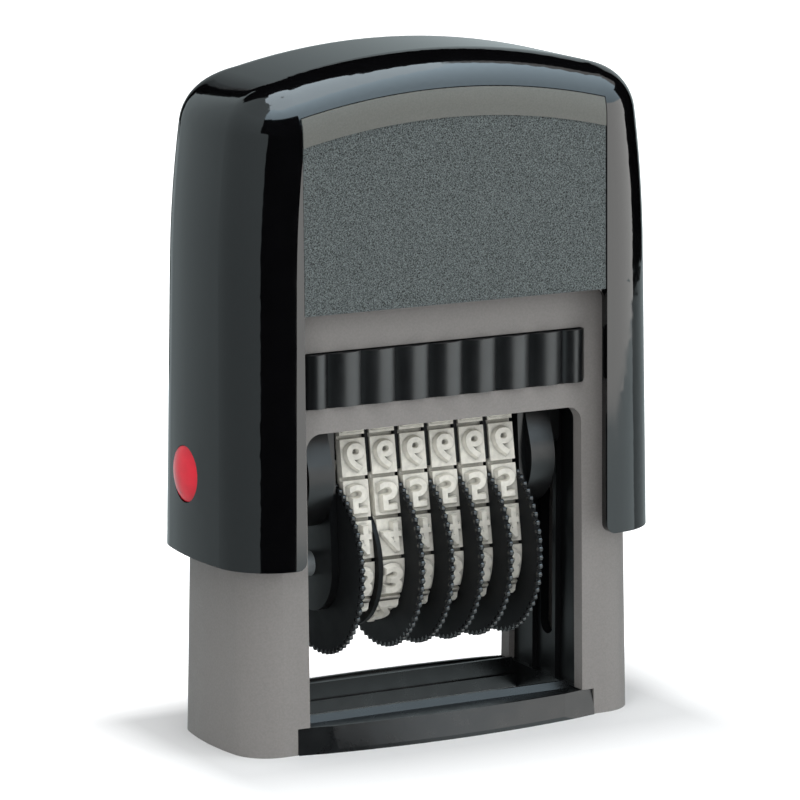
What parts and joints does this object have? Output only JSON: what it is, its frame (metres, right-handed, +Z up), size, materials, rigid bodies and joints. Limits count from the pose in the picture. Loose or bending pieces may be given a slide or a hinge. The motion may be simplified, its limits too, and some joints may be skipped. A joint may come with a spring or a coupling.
{
  "type": "self-inking numbering machine",
  "caption": "Self-inking numbering machine with a sprung black cap, grey casing, slide-in ink cartridge and number bands turned by toothed wheels.",
  "frame": {"origin": "centre of the foot on the desk, under the middle of the base ring", "axes": "+X to the right seen from the front, -Y to the front where the ink cartridge slides out, +Z up towards the cap's crown"},
  "size_m": [0.062, 0.0266, 0.0862],
  "materials": {
    "black_gloss": "gloss",
    "slate": "satin",
    "warm_grey": "satin",
    "black": "satin",
    "cream_rubber": "matte",
    "red": "gloss",
    "steel": "satin",
    "light_grey": "satin",
    "felt": "matte"
  },
  "bodies": {
    "body": {"casing": "warm_grey", "base_ring": "black", "guide_left": "black", "guide_right": "black", "deck": "warm_grey", "return_spring": "steel"},
    "cap": {"cap_shell": "black_gloss", "front_panel": "slate", "rear_panel": "slate", "bracket": "black"},
    "carrier": {"cheek_left": "black", "cheek_right": "black", "wheel_axle": "light_grey", "platen": "black", "spacer_disc": "black", "band_1": "cream_rubber", "band_2": "cream_rubber", "band_3": "cream_rubber", "band_4": "cream_rubber", "band_5": "cream_rubber", "band_6": "cream_rubber"},
    "cartridge": {"ink_tray": "black", "ink_pad": "felt"},
    "lock_left": {"button_left": "red"},
    "lock_right": {"button_right": "red"},
    "number_wheel_1": {"wheel_1": "black"},
    "number_wheel_2": {"wheel_2": "black"},
    "number_wheel_3": {"wheel_3": "black"},
    "number_wheel_4": {"wheel_4": "black"},
    "number_wheel_5": {"wheel_5": "black"},
    "number_wheel_6": {"wheel_6": "black"}
  },
  "joints": [
    {"name": "cap_press", "type": "slide", "parent": "body", "child": "cap", "axis": [0, 0, -1], "range_m": [0, 0.023], "stiffness_N_per_m": 500, "springref_m": -0.004, "deforming": ["return_spring"]},
    {"name": "carrier_flip", "type": "hinge", "parent": "cap", "child": "carrier", "pos_m": [0, 0, 0.033], "axis": [1, 0, 0], "range_deg": [0, 180.5]},
    {"name": "cartridge_slide", "type": "slide", "parent": "body", "child": "cartridge", "axis": [0, 1, 0], "range_m": [-0.035, 0]},
    {"name": "lock_left_press", "type": "slide", "parent": "cap", "child": "lock_left", "axis": [1, 0, 0], "range_m": [0, 0.0005], "stiffness_N_per_m": 1500, "springref_m": -0.0003},
    {"name": "lock_right_press", "type": "slide", "parent": "cap", "child": "lock_right", "axis": [-1, 0, 0], "range_m": [0, 0.0005], "stiffness_N_per_m": 1500, "springref_m": -0.0003},
    {"name": "wheel_1_turn", "type": "hinge", "parent": "carrier", "child": "number_wheel_1", "pos_m": [0, 0, 0.0215], "axis": [1, 0, 0], "continuous": true},
    {"name": "wheel_2_turn", "type": "hinge", "parent": "carrier", "child": "number_wheel_2", "pos_m": [0, 0, 0.0215], "axis": [1, 0, 0], "continuous": true},
    {"name": "wheel_3_turn", "type": "hinge", "parent": "carrier", "child": "number_wheel_3", "pos_m": [0, 0, 0.0215], "axis": [1, 0, 0], "continuous": true},
    {"name": "wheel_4_turn", "type": "hinge", "parent": "carrier", "child": "number_wheel_4", "pos_m": [0, 0, 0.0215], "axis": [1, 0, 0], "continuous": true},
    {"name": "wheel_5_turn", "type": "hinge", "parent": "carrier", "child": "number_wheel_5", "pos_m": [0, 0, 0.0215], "axis": [1, 0, 0], "continuous": true},
    {"name": "wheel_6_turn", "type": "hinge", "parent": "carrier", "child": "number_wheel_6", "pos_m": [0, 0, 0.0215], "axis": [1, 0, 0], "continuous": true}
  ],
  "couplings": [
    {"joint": "carrier_flip", "follows": "cap_press", "rad_per_m": 136.59}
  ]
}
